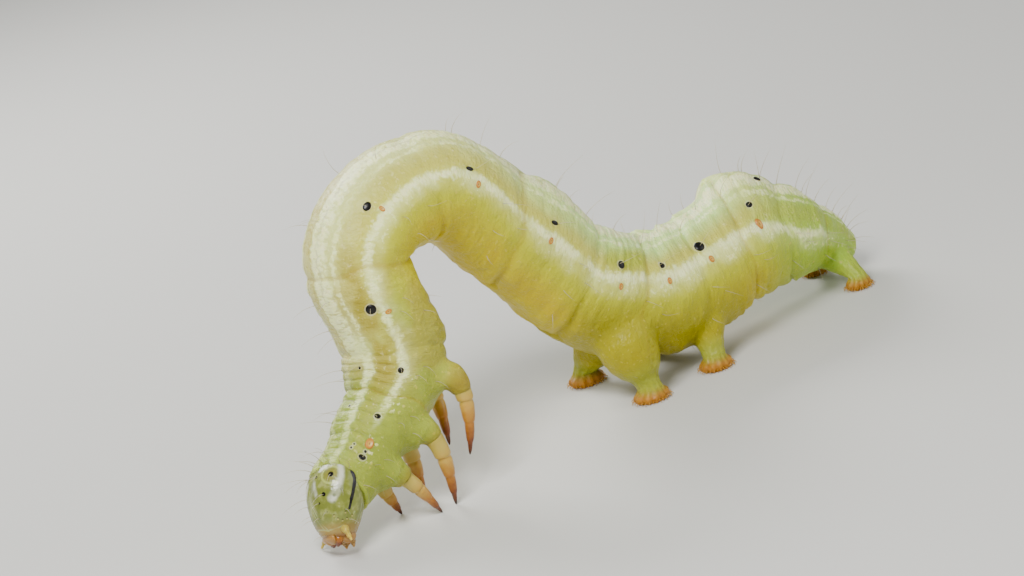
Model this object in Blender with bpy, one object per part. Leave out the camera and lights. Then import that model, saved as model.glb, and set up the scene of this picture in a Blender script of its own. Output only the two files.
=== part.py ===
"""A soybean looper larva, full grown and life size, arched in its looping step.

Tables are in millimetres and degrees, the scene is in metres.  +X runs towards the tail,
-Y is the larva's left side, +Z is up, and the floor is z = 0.  The body is walked from the
neck to the tail along one bent axis: each row of BODY is one segment, with the slope of its
length and the tilt of its rear face.  Neighbours part at flat faces a thin gap apart.
"""
import math

import bmesh
import bpy
from mathutils import Matrix, Vector

MM = 0.001
SMALLEST_EDGE = 0.000002
GAP = 0.3
ROUND = 24
SEGMENT_STEPS = 9

PALE_GREEN = (0.62, 0.66, 0.30)
GOLD = (0.72, 0.60, 0.18)
AMBER = (0.70, 0.42, 0.16)
SKIN_ROUGHNESS = 0.42
HORN_ROUGHNESS = 0.38

# Neck: the front face of the prothorax.
NECK_FACE = 24.0
NECK_LEAN = 16.0
NECK_ROLL = 14.0
NECK_HEIGHT = 1.80

# name, length, slope of its length, tilt, sideways lean and roll of its rear face, height there
BODY = (
    ("prothorax", 1.75, 29.0, 42.0, 12.0, 14.0, 2.45),
    ("mesothorax", 1.65, 33.0, 48.0, 10.0, 14.0, 2.85),
    ("metathorax", 1.70, 62.0, 78.0, 10.0, 14.0, 3.30),
    ("abdomen_1", 2.90, 94.0, 80.0, 9.0, 14.0, 3.50),
    ("abdomen_2", 3.55, 25.0, -12.0, 5.0, 12.0, 3.55),
    ("abdomen_3", 4.15, -41.0, -38.0, 2.0, 4.0, 3.80),
    ("abdomen_4", 3.25, -50.0, -40.0, 0.0, 2.0, 3.95),
    ("abdomen_5", 3.25, -28.0, -6.0, 0.0, 6.0, 4.20),
    ("abdomen_6", 2.15, 1.0, 4.0, 3.0, 10.0, 4.15),
    ("abdomen_7", 1.90, 7.0, -2.0, 6.0, 12.0, 4.05),
    ("abdomen_8", 2.50, -14.0, -16.0, 6.0, 12.0, 3.25),
    ("abdomen_9", 1.40, -26.0, -24.0, 6.0, 12.0, 2.20),
    ("abdomen_10", 1.30, -36.0, -40.0, 6.0, 12.0, 1.45),
)
THORAX_LENGTHS = 3
# Rounding of the rear end: share of the last ring's radius, and how far behind it.
ANAL_PLATE = ((0.80, 0.39), (0.45, 0.68))
# The rear face of abdomen_5 is where the chain is fixed over the floor.
FIXED_FACE = 8
FIXED_AT = Vector((2.18, 1.80, 2.69))

# The footprint's middle, which becomes the origin.
MIDDLE = Vector((-1.209, 1.224, 0.0))

# Relief of the skin, as shares of the radius.
FOLD_DEPTH = 0.055
FOLD_REACH = 0.10
BULGE = 0.022
RING_DEPTH = 0.010
RINGS_PER_SEGMENT = 3
# Swellings and hollows of the back: station, height, reach.
HUMPS = ((10.25, 0.18, 0.58), (6.00, 0.07, 0.80), (9.08, -0.14, 0.52), (11.30, -0.06, 0.40))

# Head capsule: it hangs from the neck with its face to the front.
HEAD_TILT = 72.0
HEAD_AHEAD = 0.44
HEAD_BELOW = 0.10
HEAD_WIDTH = 2.10
HEAD_DEPTH = 1.80
# share of the way down, share of the width, share of the depth, shift of the middle to the face
HEAD_RINGS = (
    (-1.30, 0.34, 0.38, -0.16),
    (-1.18, 0.62, 0.66, -0.14),
    (-0.95, 0.84, 0.88, -0.10),
    (-0.60, 0.97, 0.99, -0.04),
    (-0.20, 1.00, 1.00, 0.00),
    (0.20, 0.96, 0.95, 0.02),
    (0.55, 0.86, 0.84, 0.04),
    (0.85, 0.71, 0.70, 0.05),
    (1.05, 0.56, 0.56, 0.05),
    (1.13, 0.36, 0.36, 0.05),
)
HEAD_SIDES = 28
CLEFT_DEPTH = 0.10
CLEFT_HALF_ANGLE = 0.30

# Eyes: simple lenses on each cheek in an arc above the antenna, each by its turn from the face
# in degrees and its level down from the middle.
LENS_RADIUS = 0.085
LENSES = ((58, 0.46), (66, 0.58), (77, 0.64), (88, 0.60), (84, 0.40), (102, 0.52))

# Mouthparts: level down, distance aside, distance to the face, half sizes; those aside are paired.
MOUTHPARTS = (
    ("lip", 1.10, 0.0, 0.40, (0.34, 0.22, 0.16)),
    ("jaw", 1.18, 0.24, 0.20, (0.26, 0.22, 0.24)),
    ("palp", 1.16, 0.26, -0.26, (0.17, 0.26, 0.17)),
    ("chin", 1.14, 0.0, -0.16, (0.20, 0.29, 0.20)),
)
BLOB_SIDES = 10
BLOB_LEVELS = 6

# Antennae: short three-jointed cones beside the jaws.
ANTENNA_DOWN = 0.88
ANTENNA_TURN = 84.0
ANTENNA_LENGTH = 0.72
ANTENNA_RADIUS = 0.16
ANTENNA_GAP = 0.25
ANTENNA_SIDES = 10
# Share of the length from the skin, and share of the radius there.
ANTENNA_SHAPE = ((-0.5, 1.0), (0.58, 0.96), (0.62, 0.78), (0.78, 0.70), (0.82, 0.50), (1.0, 0.40))

# Legs: segment, share along it, angle from the belly line, near and far tip, how far they are
# raised, how far they bow outward.
LEGS = (
    ("foreleg", 0, 0.70, 30.0, (-9.55, -0.80), (-10.20, 0.50), 0.0, 0.60),
    ("midleg", 1, 0.62, 32.0, (-8.90, -0.70), (-9.15, 0.62), 0.0, 0.70),
    ("hindleg", 2, 0.55, 34.0, (-8.05, -0.85), (-7.75, 0.60), 1.40, 0.95),
)
# Share of the way from the skin to the claw, and the radius there.
LEG_RADII = ((0.0, 0.64), (0.15, 0.52), (0.28, 0.33), (0.58, 0.28), (0.76, 0.21), (0.92, 0.13), (1.0, 0.08))
LEG_SIDES = 12
LEG_SUNK = 0.55
JOINT_SWELL = 0.06
LEG_JOINTS = 3
LEG_CLEARANCE_STATIONS = 0.95

# Prolegs: side, segment, share along it, foot, root, half-way, ankle and sole radius. The fifth
# segment's left one bulges forward as in the photo.
PROLEGS = (
    ("proleg_5_left", 1, 7, 0.42, (0.05, 0.02), 1.04, 0.88, 0.43, 0.56),
    ("proleg_5_right", -1, 7, 0.58, (0.25, 3.675), 0.80, 0.64, 0.43, 0.56),
    ("proleg_6_left", 1, 8, 0.46, (2.90, 0.05), 0.76, 0.52, 0.39, 0.52),
    ("proleg_6_right", -1, 8, 0.46, (2.86, 3.62), 0.76, 0.52, 0.39, 0.52),
    ("anal_proleg_left", 1, 12, 0.35, (10.15, 0.95), 0.62, 0.42, 0.32, 0.40),
    ("anal_proleg_right", -1, 12, 0.35, (10.55, 3.70), 0.62, 0.42, 0.32, 0.40),
)
SOLE_SIDES = 16
PROLEG_SPREAD = 38.0
PROLEG_SUNK = 0.8
ANKLE_HEIGHT = 0.42
SOLE_HEIGHT = 0.24
SOLE_EDGE = 0.08
SOLE_EDGE_SHARE = 0.88
LOBE_DEPTH = 0.05
PROLEG_CLEARANCE_STATIONS = 1.1
SLEEVE_STEPS = 14


def clear_scene():
    """Removes whatever the file was opened with."""
    for old in list(bpy.data.objects):
        bpy.data.objects.remove(old, do_unlink=True)


def face_frame(tilt, lean, roll):
    """Axis to the tail, back and left-side directions of a cross face."""
    p, q, r = (math.radians(v) for v in (tilt, lean, roll))
    tail = Vector((math.cos(q) * math.cos(p), math.sin(q), math.cos(q) * math.sin(p)))
    back = Vector((-math.sin(p), 0.0, math.cos(p)))
    left = tail.cross(back)
    return tail, back * math.cos(r) - left * math.sin(r), left * math.cos(r) + back * math.sin(r)


def walk_centres():
    """Middle of each cross face, from the neck to the tail, by walking the rows of BODY."""
    centres = [Vector((0.0, 0.0, 0.0))]
    for name, length, slope, tilt, lean, roll, height in BODY:
        p, q = math.radians(slope), math.radians(lean)
        step = Vector((math.cos(q) * math.cos(p), math.sin(q), math.cos(q) * math.sin(p)))
        centres.append(centres[-1] + length * step)
    shift = FIXED_AT - centres[FIXED_FACE]
    return [c + shift for c in centres]


CENTRES = walk_centres()
TILTS = [NECK_FACE] + [row[3] for row in BODY]
LEANS = [NECK_LEAN] + [row[4] for row in BODY]
ROLLS = [NECK_ROLL] + [row[5] for row in BODY]
HEIGHTS = [NECK_HEIGHT] + [row[6] for row in BODY]
LAST = len(BODY)


def blended(values, station):
    """Value between two faces, read along the chain."""
    k = min(int(station), LAST - 1)
    return values[k] + (values[k + 1] - values[k]) * (station - k)


def axis_point(station):
    """Point of the smooth body axis: a cubic that leaves and meets the faces squarely."""
    k = min(int(station), LAST - 1)
    u = station - k
    run = (CENTRES[k + 1] - CENTRES[k]).length
    leaving, meeting = (face_frame(TILTS[i], LEANS[i], ROLLS[i])[0] * run for i in (k, k + 1))
    return (CENTRES[k] * (2 * u**3 - 3 * u**2 + 1) + leaving * (u**3 - 2 * u**2 + u)
            + CENTRES[k + 1] * (3 * u**2 - 2 * u**3) + meeting * (u**3 - u**2))


def body_frame(station):
    """Middle, tail axis, back, left side and half height at a station of the body."""
    tail, back, left = face_frame(blended(TILTS, station), blended(LEANS, station), blended(ROLLS, station))
    return axis_point(station), tail, back, left, blended(HEIGHTS, station) / 2


def relief(station, angle):
    """Skin radius as a share of the half height: folds at the faces, rings between, humps."""
    along = station - math.floor(station)
    to_fold = min(along, 1.0 - along)
    swell = BULGE * math.sin(math.pi * along) - FOLD_DEPTH * math.exp(-(to_fold / FOLD_REACH) ** 2)
    swell -= RING_DEPTH * math.cos(math.tau * along * RINGS_PER_SEGMENT)
    upper = max(math.cos(angle), 0.0) ** 2
    for at, high, reach in HUMPS:
        swell += upper * high * math.exp(-((station - at) / reach) ** 2)
    return 1.0 + swell


def body_point(station, angle, proud=0.0):
    """Point on the skin; the angle runs from the back (0) over the left side to the belly."""
    centre, tail, back, left, half = body_frame(station)
    radius = half * relief(station, angle) + proud
    return centre + radius * (math.cos(angle) * back + math.sin(angle) * left)


def new_object(name, bm, colour, roughness):
    """Turns a mesh in millimetres into a named object in metres, with its own material."""
    bmesh.ops.recalc_face_normals(bm, faces=bm.faces)
    bmesh.ops.translate(bm, vec=-MIDDLE, verts=bm.verts)
    bmesh.ops.scale(bm, vec=(MM, MM, MM), verts=bm.verts)
    mesh = bpy.data.meshes.new(name)
    bm.to_mesh(mesh)
    bm.free()
    obj = bpy.data.objects.new(name, mesh)
    bpy.context.scene.collection.objects.link(obj)
    material = bpy.data.materials.new(name)
    material.use_nodes = True
    shader = material.node_tree.nodes["Principled BSDF"]
    shader.inputs["Base Color"].default_value = (*colour, 1.0)
    shader.inputs["Roughness"].default_value = roughness
    shader.inputs["Metallic"].default_value = 0.0
    mesh.materials.append(material)
    mesh.shade_smooth()
    mesh.set_sharp_from_angle(angle=math.radians(40))
    return obj


def loft(rings):
    """Closed tube through rings of equal count, with flat ends."""
    bm = bmesh.new()
    loops = [[bm.verts.new(p) for p in ring] for ring in rings]
    for near, far in zip(loops, loops[1:]):
        for i, vert in enumerate(near):
            j = (i + 1) % len(near)
            bm.faces.new((vert, near[j], far[j], far[i]))
    bm.faces.new(loops[0])
    bm.faces.new(loops[-1])
    bmesh.ops.recalc_face_normals(bm, faces=bm.faces)
    return bm


def cut_flat(bm, point, outward):
    """Cuts away what lies beyond a plane and closes the cut."""
    geometry = bm.verts[:] + bm.edges[:] + bm.faces[:]
    cut = bmesh.ops.bisect_plane(bm, geom=geometry, dist=1e-5, plane_co=point, plane_no=outward,
                                 clear_outer=True)
    rim = [item for item in cut["geom_cut"] if isinstance(item, bmesh.types.BMEdge)]
    bmesh.ops.contextual_create(bm, geom=rim)


def body_rings(first, last, steps, proud=0.0):
    """Rings of the body from one station to another."""
    rings = []
    for i in range(steps + 1):
        station = first + (last - first) * i / steps
        rings.append([body_point(station, math.tau * j / ROUND, proud) for j in range(ROUND)])
    return rings


def anal_plate_rings(proud=0.0):
    """Shrinking rings that round off the rear end."""
    centre, tail, back, left, half = body_frame(LAST)
    rim = body_rings(LAST, LAST, 1, proud)[0]
    return [[centre + tail * (reach * half + proud) + (point - centre) * share for point in rim]
            for share, reach in ANAL_PLATE]


def make_segment(k):
    """One body segment between its two flat faces; the last one closes in the anal plate."""
    rings = body_rings(k, k + 1, SEGMENT_STEPS)
    if k == LAST - 1:
        rings += anal_plate_rings()
    bm = loft(rings)
    centre, tail, back, left, half = body_frame(k)
    cut_flat(bm, centre + tail * GAP / 2, -tail)
    if k < LAST - 1:
        centre, tail, back, left, half = body_frame(k + 1)
        cut_flat(bm, centre - tail * GAP / 2, tail)
    colour = PALE_GREEN if k < THORAX_LENGTHS else GOLD
    return new_object(BODY[k][0], bm, colour, SKIN_ROUGHNESS)


def cutter(bm):
    """A hidden closed shape that other pieces are cut with."""
    obj = new_object("sleeve", bm, GOLD, SKIN_ROUGHNESS)
    obj.hide_render = True
    obj.display_type = "WIRE"
    return obj


def apply_boolean(obj, operation, others):
    """Applies one exact Boolean with every object in others, then removes them."""
    group = bpy.data.collections.new("others")
    bpy.context.scene.collection.children.link(group)
    for other in others:
        group.objects.link(other)
    modifier = obj.modifiers.new("boolean", "BOOLEAN")
    modifier.operation = operation
    modifier.operand_type = "COLLECTION"
    modifier.collection = group
    graph = bpy.context.evaluated_depsgraph_get()
    graph.update()
    result = bpy.data.meshes.new_from_object(obj.evaluated_get(graph))
    obj.modifiers.clear()
    old = obj.data
    obj.data = result
    bpy.data.meshes.remove(old)
    for other in list(group.objects):
        bpy.data.objects.remove(other, do_unlink=True)
    bpy.data.collections.remove(group)


def keep_largest(obj):
    """Keeps the largest closed surface of a mesh."""
    bm = bmesh.new()
    bm.from_mesh(obj.data)
    bmesh.ops.triangulate(bm, faces=bm.faces)
    left_over = set(bm.verts)
    shells = []
    while left_over:
        stack = [left_over.pop()]
        shell = set(stack)
        while stack:
            for edge in stack.pop().link_edges:
                for vert in edge.verts:
                    if vert not in shell:
                        shell.add(vert)
                        stack.append(vert)
        left_over -= shell
        shells.append(shell)

    def reach(shell):
        spans = [max(v.co[i] for v in shell) - min(v.co[i] for v in shell) for i in range(3)]
        return spans[0] * spans[1] * spans[2]

    shells.sort(key=reach)
    for shell in shells[:-1]:
        bmesh.ops.delete(bm, geom=list(shell), context="VERTS")
    bmesh.ops.dissolve_degenerate(bm, dist=SMALLEST_EDGE, edges=bm.edges)
    bmesh.ops.triangulate(bm, faces=bm.faces)
    bm.to_mesh(obj.data)
    bm.free()


def tube_rings(points, radii, sides, first_axis=None):
    """Round rings across a path, each square to the path at its point."""
    rings = []
    for i, point in enumerate(points):
        before, after = points[max(i - 1, 0)], points[min(i + 1, len(points) - 1)]
        axis = (after - before).normalized()
        if i == 0 and first_axis:
            axis = first_axis.normalized()
        across = axis.cross(Vector((1.0, 0.0, 0.0))).normalized()
        up = across.cross(axis)
        rings.append([point + radii[i] * (math.cos(math.tau * j / sides) * across
                                          + math.sin(math.tau * j / sides) * up) for j in range(sides)])
    return rings


def bezier(start, middle, end, u):
    """Point on a quadratic curve."""
    return start * (1 - u) ** 2 + middle * 2 * u * (1 - u) + end * u**2


def trim_to_body(limb, station, stations):
    """Cuts a limb's root away a gap before the skin of the segments that it grows from."""
    first, last = max(station - stations, 0.0), min(station + stations, LAST)
    rings = body_rings(first, last, SLEEVE_STEPS, GAP)
    if last == LAST:
        rings += anal_plate_rings(GAP)
    apply_boolean(limb, "DIFFERENCE", [cutter(loft(rings))])
    keep_largest(limb)


def make_leg(name, k, along, spread, tip_xy, raised, bow, side):
    """A true leg: broad coxa on the belly, three tapering joints and the claw on the floor."""
    station = k + along
    centre, tail, back, left, half = body_frame(station)
    angle = math.pi - side * math.radians(spread)
    skin = body_point(station, angle)
    tip = Vector((*tip_xy, raised))
    outward = (skin - centre).normalized()
    knee = skin + outward * bow
    points = [body_point(station, angle, -LEG_SUNK)]
    radii = [LEG_RADII[0][1]]
    for share, radius in LEG_RADII:
        points.append(bezier(skin, knee, tip, share))
        radii.append(radius * (1.0 + JOINT_SWELL * math.sin(share * math.tau * LEG_JOINTS)))
    bm = loft(tube_rings(points, radii, LEG_SIDES, outward))
    if raised == 0.0:
        cut_flat(bm, Vector((0.0, 0.0, 0.0)), Vector((0.0, 0.0, -1.0)))
    leg = new_object(name, bm, AMBER, HORN_ROUGHNESS)
    trim_to_body(leg, station, LEG_CLEARANCE_STATIONS)
    return leg


def make_proleg(name, side, k, along, foot_xy, root_radius, middle_radius, ankle_radius, sole_radius):
    """A fleshy proleg: a broad root under the body, an ankle and a flat two-lobed sole."""
    station = k + along
    angle = math.pi - side * math.radians(PROLEG_SPREAD)
    foot = Vector((*foot_xy, 0.0))
    up = Vector((0.0, 0.0, 1.0))
    root = body_point(station, angle, -PROLEG_SUNK * 2)
    skin = body_point(station, angle, -PROLEG_SUNK / 2)
    ankle = foot + up * ANKLE_HEIGHT
    slant = (ankle - skin).normalized()
    # middle, axis and radius of each ring, and whether the sole's two lobes show there
    rows = (
        (root, (skin - root).normalized(), root_radius, 0),
        (skin, slant, root_radius, 0),
        (skin.lerp(ankle, 0.5), slant, middle_radius, 0),
        (skin.lerp(ankle, 0.85), (slant - up).normalized(), ankle_radius, 0),
        (ankle, -up, ankle_radius, 0),
        (foot + up * SOLE_HEIGHT, -up, sole_radius, 1),
        (foot + up * SOLE_EDGE, -up, sole_radius, 1),
        (foot, -up, sole_radius * SOLE_EDGE_SHARE, 1),
    )
    rings = []
    for point, axis, radius, lobed in rows:
        across = axis.cross(Vector((0.0, 1.0, 0.0))).normalized()
        side_on = across.cross(axis)
        ring = []
        for j in range(SOLE_SIDES):
            turn = math.tau * j / SOLE_SIDES
            reach = radius * (1.0 + lobed * LOBE_DEPTH * math.cos(2 * turn))
            ring.append(point + reach * (math.cos(turn) * across + math.sin(turn) * side_on))
        rings.append(ring)
    proleg = new_object(name, loft(rings), GOLD, SKIN_ROUGHNESS)
    trim_to_body(proleg, station, PROLEG_CLEARANCE_STATIONS)
    return proleg


HEAD_TAIL, HEAD_FACE, HEAD_LEFT = face_frame(HEAD_TILT, NECK_LEAN, NECK_ROLL)
NECK_TAIL = body_frame(0)[1]
HEAD_CENTRE = CENTRES[0] - NECK_TAIL * HEAD_AHEAD - HEAD_TAIL * HEAD_BELOW


def head_point(down, turn, proud=0.0):
    """Point on the capsule: down from the middle, turned from the face (0) to the left side."""
    levels = [row[0] for row in HEAD_RINGS]
    i = max(min(sum(1 for level in levels if level <= down) - 1, len(levels) - 2), 0)
    u = min(max((down - levels[i]) / (levels[i + 1] - levels[i]), 0.0), 1.0)
    upper, lower = HEAD_RINGS[i], HEAD_RINGS[i + 1]
    wide, deep, shift = (upper[c] + (lower[c] - upper[c]) * u for c in (1, 2, 3))
    folded = math.atan2(math.sin(turn), math.cos(turn))
    cleft = CLEFT_DEPTH * math.exp(-(folded / CLEFT_HALF_ANGLE) ** 2) * min(max(0.45 - down, 0.0), 1.0)
    x = (HEAD_WIDTH / 2 * wide + proud) * math.sin(turn)
    y = (HEAD_DEPTH / 2 * deep + proud) * math.cos(turn) * (1.0 - cleft) + shift
    return HEAD_CENTRE - HEAD_TAIL * down + HEAD_LEFT * x + HEAD_FACE * y


def head_rings(proud):
    """Rings of the capsule from the crown to the mouth, drawn out by proud on all sides."""
    rings = [[head_point(row[0], math.tau * j / HEAD_SIDES, proud) for j in range(HEAD_SIDES)]
             for row in HEAD_RINGS]
    for ring, way in ((rings[0], 1.0), (rings[-1], -1.0)):
        for point in ring:
            point += HEAD_TAIL * way * proud
    return rings


def small_blob(name, centre, size):
    """A rounded lump with its half sizes across the head, down it and to its face."""
    bm = bmesh.new()
    bmesh.ops.create_uvsphere(bm, u_segments=BLOB_SIDES, v_segments=BLOB_LEVELS, radius=1.0)
    turn = Matrix((HEAD_LEFT * size[0], HEAD_TAIL * size[1], HEAD_FACE * size[2])).transposed()
    for vert in bm.verts:
        vert.co = centre + turn @ vert.co
    return new_object(name, bm, AMBER, HORN_ROUGHNESS)


def make_head():
    """The capsule with its two lobes, the lenses, the lip, the jaws and the lower lip."""
    bm = loft(head_rings(0.0))
    cut_flat(bm, CENTRES[0] - NECK_TAIL * GAP / 2, NECK_TAIL)
    head = new_object("head", bm, PALE_GREEN, SKIN_ROUGHNESS)
    lumps = []
    for side in (1, -1):
        for turn, down in LENSES:
            lens = head_point(down, side * math.radians(turn))
            lumps.append(small_blob("lens", lens, (LENS_RADIUS,) * 3))
    for name, down, aside, ahead, size in MOUTHPARTS:
        for side in (1, -1) if aside else (1,):
            middle = HEAD_CENTRE - HEAD_TAIL * down + HEAD_LEFT * side * aside + HEAD_FACE * ahead
            lumps.append(small_blob(name, middle, size))
    apply_boolean(head, "UNION", lumps)
    keep_largest(head)
    return head


def make_antenna(name, side):
    """A short three-jointed feeler that stands on the cheek beside the jaws."""
    turn = side * math.radians(ANTENNA_TURN)
    skin = head_point(ANTENNA_DOWN, turn)
    outward = (head_point(ANTENNA_DOWN, turn, GAP) - skin).normalized()
    direction = (outward * 1.4 - HEAD_TAIL).normalized()
    points = [skin + direction * ANTENNA_LENGTH * share for share, width in ANTENNA_SHAPE]
    radii = [ANTENNA_RADIUS * width for share, width in ANTENNA_SHAPE]
    antenna = new_object(name, loft(tube_rings(points, radii, ANTENNA_SIDES)), AMBER, HORN_ROUGHNESS)
    apply_boolean(antenna, "DIFFERENCE", [cutter(loft(head_rings(ANTENNA_GAP)))])
    keep_largest(antenna)
    return antenna


def build():
    """Head, antennae, thirteen segments, six legs and six prolegs."""
    clear_scene()
    make_head()
    for side, label in ((1, "left"), (-1, "right")):
        make_antenna("antenna_" + label, side)
    for k in range(LAST):
        make_segment(k)
    for name, k, along, spread, near_tip, far_tip, raised, bow in LEGS:
        for side, label, tip in ((1, "left", near_tip), (-1, "right", far_tip)):
            make_leg(name + "_" + label, k, along, spread, tip, raised, bow, side)
    for row in PROLEGS:
        make_proleg(*row)


build()
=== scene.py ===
import math
import random

import bmesh
import bpy
from mathutils import Matrix, Vector, bvhtree, kdtree, noise


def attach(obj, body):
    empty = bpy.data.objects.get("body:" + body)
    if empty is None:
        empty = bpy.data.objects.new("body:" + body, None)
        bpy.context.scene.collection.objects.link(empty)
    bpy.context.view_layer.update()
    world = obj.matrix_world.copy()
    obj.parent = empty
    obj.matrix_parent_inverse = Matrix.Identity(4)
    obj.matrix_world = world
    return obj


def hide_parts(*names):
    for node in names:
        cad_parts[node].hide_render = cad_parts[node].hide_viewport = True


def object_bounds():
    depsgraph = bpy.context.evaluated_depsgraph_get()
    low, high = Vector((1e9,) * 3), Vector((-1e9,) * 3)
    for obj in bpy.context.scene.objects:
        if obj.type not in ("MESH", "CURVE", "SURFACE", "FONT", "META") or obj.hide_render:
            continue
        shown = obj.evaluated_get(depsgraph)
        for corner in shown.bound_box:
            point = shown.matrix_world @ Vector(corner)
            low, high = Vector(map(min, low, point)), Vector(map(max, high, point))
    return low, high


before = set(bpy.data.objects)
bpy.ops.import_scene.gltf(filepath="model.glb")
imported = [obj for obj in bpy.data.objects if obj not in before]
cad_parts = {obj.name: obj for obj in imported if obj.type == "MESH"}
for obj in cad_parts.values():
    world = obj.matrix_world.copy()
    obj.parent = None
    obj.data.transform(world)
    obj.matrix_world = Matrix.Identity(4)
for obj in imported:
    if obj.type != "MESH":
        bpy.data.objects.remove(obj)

cad_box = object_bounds()

# The skin: one soft, thin, wet cuticle over thirteen body segments and the fleshy prolegs, with fat
# and blood showing through. It is grown ring by ring along the body's bent axis, the prolegs are
# united with it, and the joins are smoothed. Lengths are in millimetres and angles in degrees.
MM = 0.001
# The middle of the footprint, which becomes the origin, and before that the middle of one face.
MIDDLE = Vector((-1.209, 1.224, 0.0))
FIXED_FACE = 8
FIXED_AT = Vector((2.18, 1.80, 2.69))
# The neck: tilt, lean and roll of its face, height there.
NECK = (24.0, 16.0, 14.0, 1.80)
# Of each segment: length, slope of its length, tilt, lean and roll of its rear face, height there.
SEGMENTS = (
    (1.75, 29.0, 42.0, 12.0, 14.0, 2.45),
    (1.65, 33.0, 48.0, 10.0, 14.0, 2.85),
    (1.70, 62.0, 78.0, 10.0, 14.0, 3.30),
    (2.90, 94.0, 80.0, 9.0, 14.0, 3.50),
    (3.55, 25.0, -12.0, 5.0, 12.0, 3.55),
    (4.15, -41.0, -38.0, 2.0, 4.0, 3.80),
    (3.25, -50.0, -40.0, 0.0, 2.0, 3.95),
    (3.25, -28.0, -6.0, 0.0, 6.0, 4.20),
    (2.15, 1.0, 4.0, 3.0, 10.0, 4.15),
    (1.90, 7.0, -2.0, 6.0, 12.0, 4.05),
    (2.50, -14.0, -16.0, 6.0, 12.0, 3.25),
    (1.40, -26.0, -24.0, 6.0, 12.0, 2.20),
    (1.30, -36.0, -40.0, 6.0, 12.0, 1.45),
)
LAST = len(SEGMENTS)
# How far the body is twisted about its own axis, and how far its folds sweep forward on the
# flanks: station, degrees and station, share of a segment.
TWIST = ((0, -8), (1.9, -12), (2.5, 0), (4.0, 0), (4.6, -3), (5.4, 8), (6.2, 14), (6.8, 8),
         (7.4, -6), (8.1, -12), (9.2, -10), (9.8, -2), (10.6, 16), (13, 20))
SWEEP = ((0, 0), (4.0, 0), (4.8, 0.20), (5.7, 0.27), (6.7, 0.30), (7.4, 0.57), (8.4, 0.63),
         (9.4, 0.60), (10.3, 0.68), (11.5, 0.50), (13, 0.30))
SWEEP_POWER = 0.8
WAVER = 0.10
AROUND = 128
ROWS = 42
# Folds between the segments: depth on the back, flank and belly as a share of the radius, and reach
# as a share of a segment. Each lies in a wider, shallower valley.
FOLD_DEPTHS = (0.034, 0.012, 0.050)
FOLD_REACH = 0.060
VALLEY_DEPTH = 0.018
VALLEY_REACH = 0.14
BULGE = 0.022
# Swellings, on the back with side 1 and on the belly with -1: station, share of the radius, reach.
HUMPS = ((10.25, 0.18, 0.58, 1), (6.00, 0.07, 0.80, 1), (11.30, -0.06, 0.40, 1),
         (3.00, 0.11, 0.50, -1))
# Steps across the rear's back, slanting to the right side: station, and how much lower it lies.
STEPS = ((8.00, 0.0), (8.15, 0.06), (8.40, 0.125), (8.48, 0.06), (8.86, 0.15), (8.94, 0.09),
         (9.25, 0.15), (9.54, 0.16), (9.84, 0.0), (13.0, 0.0))
STEPS_TURN = 0.5
STEPS_SLANT = 0.8
# Small rings of each segment, and how deep the lines between them are. They show least on the
# flank, and less on the belly than on the back.
ANNULETS = ((4, 0.036), (4, 0.040), (4, 0.038), (4, 0.008), (4, 0.008), (5, 0.010), (5, 0.016),
            (6, 0.030), (4, 0.024), (3, 0.024), (3, 0.020), (2, 0.016), (2, 0.012))
ANNULET_REACH = 0.13
ANNULETS_LEAST = 0.12
ANNULETS_GAIN = 1.3
ANNULETS_BELOW = 0.45
# The ridge along the flank: height, degrees from the back, width.
FLANK_RIDGE = (0.014, 97.0, 13.0)
# Uneven swellings of the skin: how close together, and height. They are stronger below.
PUCKERS = ((4.5, 0.016), (11.0, 0.011))
PUCKERS_BELOW = 1.2
# The collar behind the head: height above and below, reach.
COLLAR = (0.24, 0.0576)
COLLAR_REACH = 0.42
# Wrinkles: size, depth.
WRINKLES = ((0.42, 0.022), (0.15, 0.013))
# The lip that the skin turns in under the head: share of the neck's ring, how far ahead.
NECK_LIP = ((1.025, 0.04), (1.03, 0.09), (1.00, 0.13), (0.94, 0.15), (0.80, 0.13), (0.60, 0.08))
# The anal plate closes the rear in a dome: its rows, its reach as a share of the half height, and
# how far round it goes.
REAR_ROWS = 16
REAR_REACH = 0.66
REAR_SWING = math.radians(88.0)


def bell(value):
    """A bell-shaped swelling: 1 at 0, and next to nothing past 2."""
    return math.exp(-value**2)


def between(table, station):
    """Value of a table of (station, value) pairs, read with straight lines between its rows."""
    for (first, low), (last, high) in zip(table, table[1:]):
        if station <= last:
            return low + (high - low) * max(station - first, 0.0) / (last - first)
    return table[-1][1]


def direction(climb, lean):
    """A direction so many degrees up from level, and so many over to the right side."""
    p, q = math.radians(climb), math.radians(lean)
    return Vector((math.cos(q) * math.cos(p), math.sin(q), math.cos(q) * math.sin(p)))


def face_frame(tilt, lean, roll):
    """Axis to the tail, back and left-side directions of a cross face."""
    p, r = math.radians(tilt), math.radians(roll)
    tail = direction(tilt, lean)
    back = Vector((-math.sin(p), 0.0, math.cos(p)))
    left = tail.cross(back)
    return tail, back * math.cos(r) - left * math.sin(r), left * math.cos(r) + back * math.sin(r)


def walk_centres():
    """Middle of each cross face, from the neck to the tail."""
    centres = [Vector((0.0, 0.0, 0.0))]
    for length, slope, tilt, lean, roll, height in SEGMENTS:
        centres.append(centres[-1] + length * direction(slope, lean))
    shift = FIXED_AT - MIDDLE - centres[FIXED_FACE]
    return [centre + shift for centre in centres]


CENTRES = walk_centres()
FACES = (NECK,) + tuple(row[2:] for row in SEGMENTS)


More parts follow.
